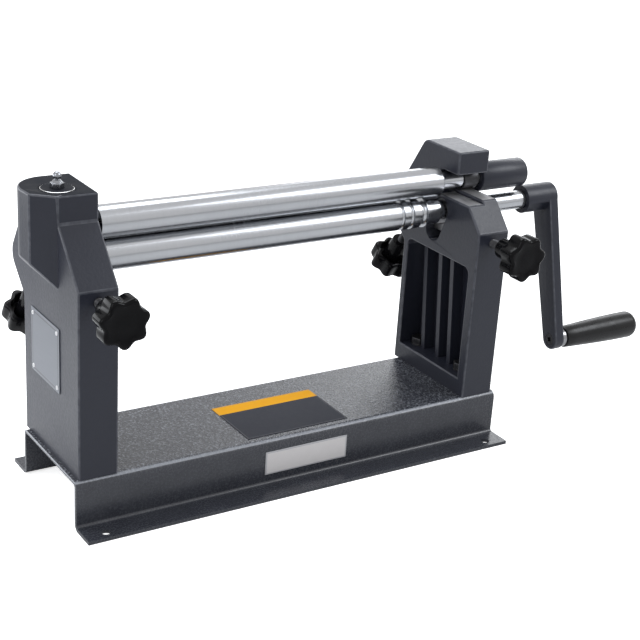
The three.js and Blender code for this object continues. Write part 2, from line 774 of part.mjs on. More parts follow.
function frontScrew() {
  const buttonEnd = wedgeFrontY + buttonWall + clearance + buttonThickness;
  const neckEnd = wedgeFrontY - clearance;
  return turned(
    "y",
    [
      [frontKnobY - knobBore + clearance, 0],
      [frontKnobY - knobBore + clearance, screwRadius],
      [neckEnd, screwRadius],
      [neckEnd, buttonNeckRadius],
      [buttonEnd - buttonThickness, buttonNeckRadius],
      [buttonEnd - buttonThickness, buttonRadius],
      [buttonEnd, buttonRadius],
      [buttonEnd, 0],
    ],
    middleSides,
  );
}

// Rear screw along its guide, from its tip under the block down to its end in the knob.
const rearKnobDrop = 50.5; // from the rear roll's axis to the knob's hub, along the guide
const screwTip = 1; // chamfer

function rearScrew() {
  const tip = -rearTail - clearance;
  const end = clearance - rearKnobDrop - knobBore;
  return turned(
    "z",
    [
      [end, 0],
      [end, screwRadius],
      [tip - screwTip, screwRadius],
      [tip, screwRadius - screwTip],
      [tip, 0],
    ],
    middleSides,
  );
}

// Lobed knob, made along Z with its hub's end at the origin, and turned as the photo shows it.
const lobeCount = 7;
const lobeDepth = 3.4;
const lobeSteps = 8; // outline points for each lobe
const hubEndRadius = 8.5;
const knobNeckRadius = 10;
const knobNeckLength = 17.5;
const knobRound = 3;
const frontKnobTurns = { left: THREE.MathUtils.degToRad(14), right: THREE.MathUtils.degToRad(6) };
const rearKnobTurns = { left: THREE.MathUtils.degToRad(47), right: THREE.MathUtils.degToRad(26) };

function starKnob(knobTurn) {
  const outline = new THREE.Shape();
  for (let i = 0; i < lobeCount * lobeSteps; i++) {
    const turn = (2 * Math.PI * i) / (lobeCount * lobeSteps);
    const dip = (1 - Math.cos(lobeCount * turn)) / 2;
    const radius = knobRadius - lobeDepth * dip;
    const point = [radius * Math.cos(turn + knobTurn), radius * Math.sin(turn + knobTurn)];
    if (i === 0) outline.moveTo(...point);
    else outline.lineTo(...point);
  }
  const lobes = prism("z", outline, [knobNeckLength, knobLength]);
  const envelope = turned(
    "z",
    [
      [knobNeckLength, 0],
      [knobNeckLength, knobRadius - knobRound],
      [knobNeckLength + knobRound, knobRadius + clearance],
      [knobLength - knobRound, knobRadius + clearance],
      [knobLength, knobRadius - knobRound],
      [knobLength, 0],
    ],
    lobeCount * lobeSteps,
  );
  const hub = turned(
    "z",
    [
      [0, 0],
      [0, hubEndRadius],
      [knobNeckLength + clearance, knobNeckRadius],
      [knobNeckLength + clearance, 0],
    ],
    middleSides,
  );
  const bore = rod("z", screwRadius + clearance, [-overrun, knobBore], [0, 0, 0], middleSides);
  return cut(joined(lobes.intersect(envelope), hub), bore);
}

// Crank: hub and tapering arm in one piece, made with the shaft's axis at the origin.
const armTopRadius = 12.25;
const armEndRadius = 9.5;
const setScrewRadius = 3;
const setScrewX = 12; // from the hub's start
const socketWidth = 4;
const socketDepth = 3;
const spindleRadius = 5;
const spindleGrip = 76; // length of the spindle inside the grip
const gripWasher = 4.6;
const gripWasherRadius = 8.6;

function crankArm() {
  const armStart = hubLength;
  const armEnd = hubLength + armThickness;
  const taper = Math.asin((armTopRadius - armEndRadius) / crankRadius);
  const outline = new THREE.Shape();
  outline.absarc(0, 0, armTopRadius, -taper, Math.PI + taper);
  outline.absarc(0, -crankRadius, armEndRadius, Math.PI + taper, 2 * Math.PI - taper);
  const hub = rod("x", hubRadius, [0, armEnd], [0, 0, 0], largeSides);
  const arm = prism("x", outline, [armStart, armEnd], { arcSteps: 14 });
  const holeXs = [armStart - overrun, armEnd + overrun];
  const endHole = rod("x", spindleRadius + clearance, holeXs, [0, 0, -crankRadius]);
  return cut(
    joined(hub, arm),
    rod("x", crankShaftRadius + clearance, [-overrun, armEnd + overrun], [0, 0, 0], largeSides),
    rod("y", setScrewRadius + clearance, [0, hubRadius + overrun], [setScrewX, 0, 0], smallSides),
    endHole,
  );
}

function setScrew() {
  const end = Math.sqrt(hubRadius ** 2 - setScrewRadius ** 2) - clearance;
  const start = crankShaftRadius + clearance;
  const body = rod("y", setScrewRadius, [start, end], [0, 0, 0], smallSides);
  const half = setScrewRadius / 2;
  return cut(body, box([-half, half], [end - half, end + overrun], [-half, half]));
}

// Spindle: fixed in the arm's end, with a square socket in its left face.
function gripSpindle() {
  const end = armThickness + gripWasher + spindleGrip;
  const half = socketWidth / 2;
  return cut(
    rod("x", spindleRadius, [0, end]),
    box([-overrun, socketDepth], [-half, half], [-half, half]),
  );
}

function washerRing() {
  const ring = rod("x", gripWasherRadius, [clearance, gripWasher]);
  return cut(ring, rod("x", spindleRadius + clearance, [-overrun, gripWasher + overrun]));
}

// Grip: swells from the arm to its round free end, bored blind for the spindle.
const gripNeckRadius = 9.9;
const gripRadius = 12.4;
const gripRound = 1.5;
const gripEndShares = [
  [0.9, 1],
  [0.95, 0.95],
  [0.98, 0.82],
  [0.995, 0.6],
  [1, 0.32],
];

function crankGrip() {
  const start = clearance;
  const profile = [
    [start, 0],
    [start, gripNeckRadius - gripRound],
    [start + gripRound, gripNeckRadius],
    ...gripEndShares.map(([along, across]) => [along * gripLength, across * gripRadius]),
    [gripLength, 0],
  ];
  const bore = rod("x", spindleRadius + clearance, [-overrun, spindleGrip + 2 * clearance]);
  return cut(turned("x", profile), bore);
}

// Fasteners
function frameBolt() {
  const underHead = boltSeatZ + washerThickness;
  const end = baseInsideZ - nutHeight - boltTail;
  const head = hexagon(boltHeadWidth, [underHead, underHead + boltHeadHeight]);
  return joined(head, rod("z", boltRadius, [end, underHead + clearance], [0, 0, 0], smallSides));
}

function boltWasher() {
  const ring = rod("z", washerRadius, [boltSeatZ, boltSeatZ + washerThickness]);
  const hole = [boltSeatZ - overrun, boltSeatZ + overrun];
  return cut(ring, rod("z", boltRadius + clearance, hole, [0, 0, 0], smallSides));
}

function boltNut() {
  const zs = [baseInsideZ - nutHeight, baseInsideZ];
  const body = hexagon(boltHeadWidth, zs);
  const hole = [zs[0] - overrun, zs[1] + overrun];
  return cut(body, rod("z", boltRadius + clearance, hole, [0, 0, 0], smallSides));
}

// Plates and label: plain metal and film
const plateThickness = 0.8;
const nameplateYs = [-16, 38.6];
const nameplateZs = [98, 150];
const rivetInset = 4;
const rivetRadius = 1.8;
const rivetHeight = 1.1;
const rivetDomeShare = 0.85;
const badgeXs = [-35.3, 42.5];
const badgeZs = [11.1, 31.4];
const labelXs = [-46.5, 48.5];
const labelInset = 9.5; // from the base's front edge
const labelYs = [labelInset - baseTopWidth / 2, 20];
const labelThickness = 0.4;

function rivetHead() {
  return turned(
    "x",
    [
      [-rivetHeight, 0],
      [-rivetHeight / 2, rivetRadius * rivetDomeShare],
      [0, rivetRadius],
      [0, 0],
    ],
    smallSides,
  );
}

function nameplate() {
  return box([-outerX - plateThickness, -outerX], nameplateYs, nameplateZs);
}

function badgePlate() {
  const frontY = -baseTopWidth / 2;
  return box(badgeXs, [frontY - plateThickness, frontY], badgeZs);
}

function topLabel() {
  return box(labelXs, labelYs, [baseHeight, baseHeight + labelThickness]);
}

// The fixed stand: base, frames, their bolts, and the plates.
function addStand(machine) {
  const stand = addGroup(machine, [0, 0, 0]);
  addPiece(stand, "base_channel", baseChannel(), paint);
  addPiece(stand, "left_frame", leftFrame(), paint);
  addPiece(stand, "right_frame", rightFrame(), paint);
  for (const [sideName, side] of Object.entries(sides)) {
    for (const [placeName, y] of Object.entries(boltPlaces)) {
      const at = [side * boltX, y, 0];
      addPiece(stand, `frame_bolt_${sideName}_${placeName}`, frameBolt(), darkSteel, at);
      addPiece(stand, `frame_washer_${sideName}_${placeName}`, boltWasher(), darkSteel, at);
      addPiece(stand, `frame_nut_${sideName}_${placeName}`, boltNut(), darkSteel, at);
    }
  }
  addPiece(stand, "nameplate", nameplate(), plateMetal);
  const corners = { front: nameplateYs[0] + rivetInset, rear: nameplateYs[1] - rivetInset };
  const levels = { lower: nameplateZs[0] + rivetInset, upper: nameplateZs[1] - rivetInset };
  for (const [cornerName, y] of Object.entries(corners)) {
    for (const [levelName, z] of Object.entries(levels)) {
      const at = [-outerX - plateThickness, y, z];
      addPiece(stand, `nameplate_rivet_${cornerName}_${levelName}`, rivetHead(), plateMetal, at);
    }
  }
  addPiece(stand, "badge_plate", badgePlate(), plateMetal);
  addPiece(stand, "top_label", topLabel(), labelFilm);
}

// A block in each frame. The group's Z runs along the guide, and its origin is on the roll's axis.
function addBlocks(carriage, nameStart, solid) {
  const place = { left: -innerX - blockInset - blockThickness, right: innerX + blockInset };
  for (const [sideName, x] of Object.entries(place)) {
    addPiece(carriage, `${nameStart}_${sideName}`, solid, castIron, [x, 0, 0]);
  }
}

// Lower roll, crank and grip, with the blocks that carry them.
function addLowerRoll(machine) {
  const place = [0, frontRollY, lowerRollZ];
  addBlocks(addGroup(machine, place, frontLean), "front_block", frontBlock());
  const spinning = addGroup(machine, place);
  addPiece(spinning, "lower_roll", lowerRoll(), steel);
  const crank = addGroup(spinning, [hubStartX, 0, 0], -crankLean);
  addPiece(crank, "crank_arm", crankArm(), darkSteel);
  addPiece(crank, "crank_set_screw", setScrew(), darkSteel, [setScrewX, 0, 0]);
  const armEnd = hubLength + armThickness;
  addPiece(crank, "grip_spindle", gripSpindle(), darkSteel, [hubLength, 0, -crankRadius]);
  addPiece(crank, "grip_washer", washerRing(), steel, [armEnd, 0, -crankRadius]);
  addPiece(crank, "crank_grip", crankGrip(), plastic, [armEnd + gripWasher, 0, -crankRadius]);
}

function addFrontAdjusters(machine) {
  for (const [sideName, side] of Object.entries(sides)) {
    const adjuster = addGroup(machine, [side * screwX, 0, frontScrewZ]);
    addPiece(adjuster, `front_wedge_${sideName}`, frontWedge(), castIron);
    addPiece(adjuster, `front_screw_${sideName}`, frontScrew(), steel);
    const outwards = addGroup(adjuster, [0, frontKnobY, 0], Math.PI / 2);
    addPiece(outwards, `front_knob_${sideName}`, starKnob(frontKnobTurns[sideName]), plastic);
  }
}

// Rear roll with its blocks, screws and knobs, all along the rear guide.
function addRearRoll(machine) {
  const place = [0, rearRollY, rearRollZ];
  const carriage = addGroup(machine, place, rearLean);
  addBlocks(carriage, "rear_block", rearBlock());
  addPiece(addGroup(machine, place), "rear_roll", rearRoll(), steel);
  for (const sideName of Object.keys(sides)) {
    const adjuster = addGroup(carriage, [rearScrewX(sideName), 0, 0]);
    addPiece(adjuster, `rear_screw_${sideName}`, rearScrew(), steel);
    const outwards = addGroup(adjuster, [0, 0, -rearKnobDrop], Math.PI);
    addPiece(outwards, `rear_knob_${sideName}`, starKnob(rearKnobTurns[sideName]), plastic);
  }
}

// Upper roll: post, pin, bush and grease nipple swing with it, and the handle turns with it.
function addUpperRoll(machine) {
  const axis = addGroup(machine, [0, frontRollY, upperRollZ]);
  addPiece(axis, "upper_roll", upperRoll(), steel);
  addPiece(axis, "upper_bush", upperBush(), darkSteel);
  addPiece(axis, "release_handle", releaseHandle(), darkSteel);
  addPiece(axis, "handle_pin", handlePin(), darkSteel, [handlePinX, 0, 0]);
  const post = addGroup(axis, [postX, 0, 0]);
  addPiece(post, "swivel_post", swivelPost(), darkSteel);
  addPiece(post, "keeper_pin", keeperPin(), steel, [keeperX, keeperY, 0]);
  const postTopZ = frameTopZ + postProud - upperRollZ;
  addPiece(post, "grease_nipple", greaseNipple(), steel, [0, 0, postTopZ]);
}

const machine = new THREE.Group();
addStand(machine);
addLowerRoll(machine);
addFrontAdjusters(machine);
addRearRoll(machine);
addUpperRoll(machine);

// The origin is the middle of the whole machine's footprint.
machine.updateMatrixWorld(true);
const reach = new THREE.Box3().setFromObject(machine, true);
const footprint = reach.getCenter(new THREE.Vector3());
machine.position.set(-footprint.x, -footprint.y, -reach.min.z);

const slipRoll = new THREE.Group();
slipRoll.add(machine);

export default slipRoll;
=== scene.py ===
import math

import bmesh
import bpy
from mathutils import Matrix, Vector


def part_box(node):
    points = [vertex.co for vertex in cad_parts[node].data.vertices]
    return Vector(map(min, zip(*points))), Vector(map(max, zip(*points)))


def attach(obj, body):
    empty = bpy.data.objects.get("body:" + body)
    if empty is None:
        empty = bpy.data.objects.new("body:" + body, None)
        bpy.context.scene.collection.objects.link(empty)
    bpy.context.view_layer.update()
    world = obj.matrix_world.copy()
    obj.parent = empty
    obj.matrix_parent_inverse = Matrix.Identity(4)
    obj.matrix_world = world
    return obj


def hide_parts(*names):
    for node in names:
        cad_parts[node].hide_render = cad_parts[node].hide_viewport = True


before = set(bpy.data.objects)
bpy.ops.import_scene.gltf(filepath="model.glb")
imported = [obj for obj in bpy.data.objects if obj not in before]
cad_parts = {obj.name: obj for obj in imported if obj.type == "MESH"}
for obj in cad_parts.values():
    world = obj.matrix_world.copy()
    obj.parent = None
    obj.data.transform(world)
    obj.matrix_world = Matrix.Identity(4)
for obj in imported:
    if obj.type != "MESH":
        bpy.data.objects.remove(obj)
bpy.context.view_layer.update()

# Camera. The photograph was taken from in front of the machine's left end, a little above it.
# The place is measured from the middle of the base's footprint on the bench.
base_low, base_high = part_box("base_channel")
footprint = Vector(((base_low.x + base_high.x) / 2, (base_low.y + base_high.y) / 2, 0))
camera_offset = Vector((-0.5712, -0.9358, 0.556))
view_line = Vector((0.51958, 0.76345, -0.38364)).normalized()
level_line = Vector((0.84002, -0.53852, 0.06602)).normalized()
lens_length = 80.8
sensor_width = 36
frame_shift = (-0.0325, 0.043)

camera_data = bpy.data.cameras.new("camera")
camera_data.lens = lens_length
camera_data.sensor_width = sensor_width
camera_data.shift_x, camera_data.shift_y = frame_shift
camera = bpy.data.objects.new("camera", camera_data)
bpy.context.scene.collection.objects.link(camera)
upright = level_line.cross(view_line)
turn = Matrix((level_line, upright, -view_line)).transposed().to_4x4()
camera.matrix_world = Matrix.Translation(footprint + camera_offset) @ turn
bpy.context.scene.camera = camera
bpy.context.scene.view_settings.view_transform = "Standard"

# Studio. Soft boxes stand round the machine, and a small one lights the floor close to its left
# end. The floor is a plain pale sheet, and metal mirrors the same white room.
room_level = 0.45
lamp_colour = (0.93, 0.96, 1.0)
soft_boxes = {
    "rear box": ((1.3, 1.15, 0.75), (1.1, 0.6), 5),
    "right front box": ((1.2, -0.8, 1.35), (0.9, 0.8), 15),
    "top box": ((-0.05, 0.55, 1.45), (1.2, 0.7), 13),
    "left box": ((-1.5, -0.5, 1.0), (0.8, 1.0), 6),
    "pool box": ((-0.46, 0.17, 0.22), (0.25, 0.25), 0.7),
}
pool_target = Vector((-0.36, 0.1, 0))
floor_side = 14
floor_colour = (0.9, 0.9, 0.9, 1)
floor_glow = 0.72

world = bpy.data.worlds.new("studio")
bpy.context.scene.world = world
world.use_nodes = True
room = world.node_tree
room.nodes.clear()
ray = room.nodes.new("ShaderNodeLightPath")
seen = room.nodes.new("ShaderNodeMath")
seen.operation = "MAXIMUM"
room.links.new(ray.outputs["Is Camera Ray"], seen.inputs[0])
room.links.new(ray.outputs["Is Glossy Ray"], seen.inputs[1])
through = room.nodes.new("ShaderNodeMath")
through.operation = "MAXIMUM"
room.links.new(seen.outputs[0], through.inputs[0])
room.links.new(ray.outputs["Is Transmission Ray"], through.inputs[1])
lit = room.nodes.new("ShaderNodeBackground")
lit.inputs["Strength"].default_value = room_level
plain = room.nodes.new("ShaderNodeBackground")
mixed = room.nodes.new("ShaderNodeMixShader")
shown = room.nodes.new("ShaderNodeOutputWorld")
for background in (lit, plain):
    background.inputs["Color"].default_value = (1, 1, 1, 1)
room.links.new(through.outputs[0], mixed.inputs["Fac"])
room.links.new(lit.outputs[0], mixed.inputs[1])
room.links.new(plain.outputs[0], mixed.inputs[2])
room.links.new(mixed.outputs[0], shown.inputs["Surface"])

for box_name, (place, size, power) in soft_boxes.items():
    lamp_data = bpy.data.lights.new(box_name, "AREA")
    lamp_data.shape = "RECTANGLE"
    lamp_data.size, lamp_data.size_y = size
    lamp_data.energy = power
    lamp_data.color = lamp_colour
    lamp = bpy.data.objects.new(box_name, lamp_data)
    lamp.location = place
    target = pool_target if box_name == "pool box" else Vector()
    lamp.rotation_euler = (target - lamp.location).to_track_quat("-Z", "Y").to_euler()
    bpy.context.scene.collection.objects.link(lamp)

floor_data = bpy.data.meshes.new("floor")
sheet = bmesh.new()
bmesh.ops.create_grid(sheet, x_segments=1, y_segments=1, size=floor_side / 2)
sheet.to_mesh(floor_data)
sheet.free()
floor = bpy.data.objects.new("floor", floor_data)
bpy.context.scene.collection.objects.link(floor)
floor_finish = bpy.data.materials.new("pale sheet")
floor_finish.use_nodes = True
sheet_nodes = floor_finish.node_tree
sheet_nodes.nodes.clear()
matt = sheet_nodes.nodes.new("ShaderNodeBsdfDiffuse")
matt.inputs["Color"].default_value = floor_colour
glow = sheet_nodes.nodes.new("ShaderNodeEmission")
sheet_ray = sheet_nodes.nodes.new("ShaderNodeLightPath")
only_seen = sheet_nodes.nodes.new("ShaderNodeMath")
only_seen.operation = "MULTIPLY"
only_seen.inputs[1].default_value = floor_glow
sheet_nodes.links.new(sheet_ray.outputs["Is Camera Ray"], only_seen.inputs[0])
sheet_nodes.links.new(only_seen.outputs[0], glow.inputs["Strength"])
both = sheet_nodes.nodes.new("ShaderNodeAddShader")
sheet_out = sheet_nodes.nodes.new("ShaderNodeOutputMaterial")
sheet_nodes.links.new(matt.outputs[0], both.inputs[0])
sheet_nodes.links.new(glow.outputs[0], both.inputs[1])
sheet_nodes.links.new(both.outputs[0], sheet_out.inputs["Surface"])
floor_data.materials.append(floor_finish)


# Base. One steel sheet, folded to a hat section and sprayed a dark grey. The paint is hammered and
# nearly smooth on the sides. Its colour carries a painted glint, strong on the flat top and faint
# on the sides, and a painted highlight along the two upper bends.
class Value:
    """A node socket that can be used in sums."""

    def __init__(self, tree, socket):
        self.tree = tree
        self.socket = socket

    def sum_with(self, operation, first, second):
        node = self.tree.nodes.new("ShaderNodeMath")
        node.operation = operation
        for slot, given in zip(node.inputs, (first, second)):
            if isinstance(given, Value):
                self.tree.links.new(given.socket, slot)
            else:
                slot.default_value = given
        return Value(self.tree, node.outputs[0])

    def __add__(self, other):
        return self.sum_with("ADD", self, other)

    def __sub__(self, other):
        return self.sum_with("SUBTRACT", self, other)

    def __rsub__(self, other):
        return self.sum_with("SUBTRACT", other, self)

    def __mul__(self, other):
        return self.sum_with("MULTIPLY", self, other)

    def __gt__(self, other):
        return self.sum_with("GREATER_THAN", self, other)

    def __lt__(self, other):
        return self.sum_with("LESS_THAN", self, other)


class Finish:
    """A material whose pattern reads the object's own coordinates, in metres."""

    def __init__(self, name, colour, roughness, metallic=0.0, specular=0.5, coat=0.0):
        self.material = bpy.data.materials.new(name)
        self.material.use_nodes = True
        self.tree = self.material.node_tree
        self.tree.nodes.clear()
        self.surface = self.tree.nodes.new("ShaderNodeBsdfPrincipled")
        output = self.tree.nodes.new("ShaderNodeOutputMaterial")
        self.tree.links.new(self.surface.outputs[0], output.inputs["Surface"])
        self.surface.inputs["Base Color"].default_value = (*colour, 1)
        self.surface.inputs["Roughness"].default_value = roughness
        self.surface.inputs["Metallic"].default_value = metallic
        self.surface.inputs["Specular IOR Level"].default_value = specular
        self.surface.inputs["Coat Weight"].default_value = coat
        self.place = self.add("ShaderNodeTexCoord", {}, {}, "Object")

    def add(self, kind, settings, given, output=0):
        """One node: its settings, then the numbers, colours or links of its sockets."""
        node = self.tree.nodes.new(kind)
        for setting, chosen in settings.items():
            if setting == "stops":
                for stop, (spot, colour) in zip(node.color_ramp.elements, chosen):
                    stop.position = spot
                    stop.color = colour
            else:
                setattr(node, setting, chosen)
        for slot, value in given.items():
            if isinstance(value, Value):
                self.tree.links.new(value.socket, node.inputs[slot])
            else:
                node.inputs[slot].default_value = value
        return Value(self.tree, node.outputs[output])

    def noise(self, scale, detail=2.0, roughness=0.5, vector=None):
        given = {"Vector": vector or self.place, "Scale": scale}
        given |= {"Detail": detail, "Roughness": roughness}
        return self.add("ShaderNodeTexNoise", {}, given, "Fac")

    def stretched(self, scale):
        """The object's coordinates, scaled by a different amount along each axis."""
        return self.add("ShaderNodeMapping", {}, {"Vector": self.place, "Scale": scale})

    def steps(self, value, low, high, low_result=0.0, high_result=1.0):
        """A value fitted from one range to another and held inside it."""
        given = {0: value, 1: low, 2: high, 3: low_result, 4: high_result}
        return self.add("ShaderNodeMapRange", {"clamp": True}, given)

    def blend(self, factor, first, second):
        """Two colours mixed by a value."""
        given = {0: factor}
        for slot, colour in ((6, first), (7, second)):
            given[slot] = colour if isinstance(colour, Value) else (*colour, 1)
        return self.add("ShaderNodeMix", {"data_type": "RGBA"}, given, 2)

    def colour(self, value):
        self.tree.links.new(value.socket, self.surface.inputs["Base Color"])

    def rough(self, value):
        self.tree.links.new(value.socket, self.surface.inputs["Roughness"])

    def relief(self, height, depth):
        """Bumps of a given depth in metres where height goes from 0 to 1."""
        given = {"Height": height, "Distance": depth, "Strength": 1.0}
        bump = self.add("ShaderNodeBump", {}, given)
        self.tree.links.new(bump.socket, self.surface.inputs["Normal"])


def welded(node, weld=0.00002, flat=0.5):
    """A copy of a CAD node's mesh with its loose triangles joined into whole faces."""
    shell = bmesh.new()
    shell.from_mesh(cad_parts[node].data)
    bmesh.ops.remove_doubles(shell, verts=shell.verts, dist=weld)
    limit = math.radians(flat)
    bmesh.ops.dissolve_limit(shell, angle_limit=limit, verts=shell.verts, edges=shell.edges)
    return shell


def piece(name, shell, finishes, body, *nodes, smooth=35):
    """Makes an object of a mesh, gives it its finishes and lets it ride on its body."""
    mesh = bpy.data.meshes.new(name)
    shell.to_mesh(mesh)
    shell.free()
    mesh.shade_smooth()
    mesh.set_sharp_from_angle(angle=math.radians(smooth))
    made = bpy.data.objects.new(name, mesh)
    bpy.context.scene.collection.objects.link(made)
    for finish in finishes:
        mesh.materials.append(finish.material)
    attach(made, body)
    if nodes:
        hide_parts(*nodes)
    return made


def soften(made, width, segments=3, limit=35, edge_finish=-1, weighted=False):
    """Rounds an object's sharp edges, which may take another of its finishes."""
    edges = made.modifiers.new("soft edges", "BEVEL")
    edges.width = width
    edges.segments = segments
    edges.limit_method = "WEIGHT" if weighted else "ANGLE"
    edges.angle_limit = math.radians(limit)
    edges.use_clamp_overlap = not weighted
    edges.loop_slide = not weighted
    edges.material = edge_finish
    shading = made.modifiers.new("flat faces", "WEIGHTED_NORMAL")
    shading.weight = 100
    shading.keep_sharp = True


def spread(spots, axis):
    """How far some points reach along an axis."""
    return max(spot[axis] for spot in spots) - min(spot[axis] for spot in spots)


def weigh_runs(shell, shortest, narrowest, foot=-1.0, sharp=35):
    """Marks the outward edges of long and wide sharp runs, for soften, but none at the foot."""
    weight = shell.edges.layers.float.new("bevel_weight_edge")
    left = set()
    for edge in shell.edges:
        stands = max(vertex.co.z for vertex in edge.verts) < foot
        if edge.is_convex and not stands and edge.calc_face_angle(0) > math.radians(sharp):
            left.add(edge)
    while left:
        run = [left.pop()]
        for edge in run:
            near = {other for vertex in edge.verts for other in vertex.link_edges} & left
            left -= near
            run.extend(near)
        spots = [vertex.co for edge in run for vertex in edge.verts]
        extents = sorted(spread(spots, axis) for axis in range(3))
        if extents[2] > shortest and extents[1] > narrowest:
            for edge in run:
                edge[weight] = 1


hammered_colour = (0.021, 0.023, 0.031)
top_reach = 0.0015
bend_reach = 0.0045
# Where the painted highlight along the two upper bends lies below the top, and how strong it is.
bend_highlight_top = 0.0006
bend_highlight_foot = 0.0016
bend_highlight_fade = 0.0004
bend_highlight_share = 0.8
# How strong the painted glint is: on the flat top, and on the sides.
painted_top_glint = 0.68
painted_side_glint = 0.03
side_hammering = 0.12
hammer_depth = 0.0004
base_edge = 0.0006
# The lighter colour of the paint's mottle, its painted glint and its painted bend highlight.
mottle_and_highlight_colour = (0.3, 0.315, 0.35)
base_paint = Finish("hammered base paint", hammered_colour, 0.26, specular=0.5)
dimple = base_paint.noise(620, detail=2, roughness=0.6)
grain = base_paint.noise(1500, detail=1)
mottle = base_paint.noise(60, detail=3)
apart = base_paint.add("ShaderNodeSeparateXYZ", {}, {"Vector": base_paint.place}, 2)
# The painted glint: lighter dots in the colour, strong on the flat top, where the sheen falls.
painted_glint_share = (apart > base_high.z - top_reach) * painted_top_glint + painted_side_glint
hammered = base_paint.steps(
    apart, base_high.z - bend_reach, base_high.z - top_reach, side_hammering, 1)
painted_glint = base_paint.steps(dimple * 0.6 + grain * 0.4, 0.54, 0.62) * painted_glint_share
# A painted highlight: a lighter band of colour along the two upper bends, where they catch light.
bend_highlight_start = base_high.z - bend_highlight_top
bend_highlight_end = base_high.z - bend_highlight_foot
bend_highlight_upper = base_paint.steps(apart, bend_highlight_start, bend_highlight_start + bend_highlight_fade, 1, 0)
bend_highlight_lower = base_paint.steps(apart, bend_highlight_end - bend_highlight_fade, bend_highlight_end)
# Mottle, the painted glint and the painted highlight on the bends lighten the colour.
lightness = painted_glint + mottle * 0.08 + bend_highlight_upper * bend_highlight_lower * bend_highlight_share
base_paint.colour(base_paint.blend(lightness, hammered_colour, mottle_and_highlight_colour))
base_paint.rough(base_paint.steps(dimple, 0.3, 0.7, 0.17, 0.36))
base_paint.relief(dimple * hammered, hammer_depth)

base = piece("folded_base", welded("base_channel"), [base_paint], "stand", "base_channel")
soften(base, base_edge, segments=2)

# Side frames. Two grey iron castings, sprayed a satin dark grey. Their rounded edges and front
# creases take a lighter paint, partly thin and worn paint and mostly a painted highlight.
# The floor of the right frame's open mouth is milled bare, so that the upper roll's bush seats on
# metal, and the left frame's top takes a darker, matt paint round the pivot.
casting_colour = (0.018, 0.02, 0.03)
casting_worn = (0.04, 0.043, 0.058)
casting_edge = 0.0014
longest_bore = 0.05
widest_rib = 0.012
front_crease = 12
knee_facet = 0.0035
front_share = 0.6
side_share = 0.1
level_share = 0.9
foot_clearance = 0.0005
seat_height = 0.2126
seat_step = 0.003
seat_reach = 0.0005

casting_paint = Finish("satin casting paint", casting_colour, 0.34, specular=0.3)
peel = casting_paint.noise(420, detail=3)
cloud = casting_paint.noise(18, detail=4)
speck = casting_paint.steps(casting_paint.noise(1500, detail=1), 0.66, 0.74)
casting_paint.colour(casting_paint.blend(cloud * 0.22 + speck * 0.25, casting_colour, casting_worn))
casting_paint.rough(casting_paint.steps(cloud + peel, 0.6, 1.4, 0.28, 0.42))
casting_paint.relief(peel, 0.00012)

# Lighter paint on rounded edges: partly thin, worn paint and mostly a painted highlight.
edge_wear_and_highlight = Finish("thin worn paint and painted highlight on edges", (0.05, 0.053, 0.068), 0.34, specular=0.4)
rub = edge_wear_and_highlight.noise(160, detail=3)
patchy_wear_and_highlight = edge_wear_and_highlight.steps(rub, 0.35, 0.7)
edge_wear_and_highlight.colour(edge_wear_and_highlight.blend(patchy_wear_and_highlight, (0.038, 0.041, 0.054), (0.075, 0.079, 0.096)))
edge_wear_and_highlight.rough(edge_wear_and_highlight.steps(rub, 0.3, 0.7, 0.28, 0.42))
edge_wear_and_highlight.relief(rub, 0.00006)

milled_steel = Finish("milled seat", (0.6, 0.6, 0.61), 0.46, metallic=1.0)
cutter = milled_steel.noise(1.0, detail=2, vector=milled_steel.stretched((900, 60, 1)))
milled_steel.colour(milled_steel.blend(cutter, (0.5, 0.5, 0.51), (0.72, 0.72, 0.74)))
milled_steel.rough(milled_steel.steps(cutter, 0.2, 0.8, 0.38, 0.54))
milled_steel.relief(cutter, 0.00003)

# A darker, matt paint for the left frame's top and for the swivel post.
darker_matt_top_paint = Finish("darker matt paint round the pivot", (0.009, 0.01, 0.014), 0.62, specular=0.08)
top_mottle = darker_matt_top_paint.noise(70, detail=4)
darker_matt_top_paint.colour(darker_matt_top_paint.blend(top_mottle, (0.006, 0.007, 0.01), (0.016, 0.018, 0.024)))
darker_matt_top_paint.rough(darker_matt_top_paint.steps(top_mottle, 0.3, 0.7, 0.55, 0.75))
darker_matt_top_paint.relief(top_mottle, 0.0001)


def at_front(face):
    """Whether a face looks to the machine's front and not to a side."""
    return face.normal.y < -front_share and abs(face.normal.x) < side_share


for side in ("left", "right"):
    casting = welded(f"{side}_frame")
    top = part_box(f"{side}_frame")[1].z
    for face in casting.faces:
        height = face.calc_center_median().z
        level = face.normal.z > level_share
        on_seat = min(abs(height - seat_height), abs(height - seat_height + seat_step)) < seat_reach
        if side == "right" and level and on_seat:
            face.material_index = 1
        if side == "left" and level and top - height < seat_reach:
            face.material_index = 3
    base_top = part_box("base_channel")[1].z
    weigh_runs(casting, longest_bore, widest_rib, foot=base_top + foot_clearance)
    weight = casting.edges.layers.float["bevel_weight_edge"]
    # Concave creases on the front are rounded too; their rounded faces take the painted highlight.
    for edge in casting.edges:
        creased = not edge.is_convex and edge.calc_face_angle(0) > math.radians(front_crease)
        if creased and all(at_front(face) for face in edge.link_faces):
            edge[weight] = 1
    # The narrow facets of the front knees take the lighter edge paint as a painted highlight.
    for face in casting.faces:
        spots = [vertex.co for vertex in face.verts]
        if at_front(face) and spread(spots, 2) < knee_facet:
            face.material_index = 2
    finishes = [casting_paint, milled_steel, edge_wear_and_highlight, darker_matt_top_paint]
    made = piece(f"{side}_casting", casting, finishes, "stand", f"{side}_frame")
    soften(made, casting_edge, segments=4, edge_finish=2, weighted=True)

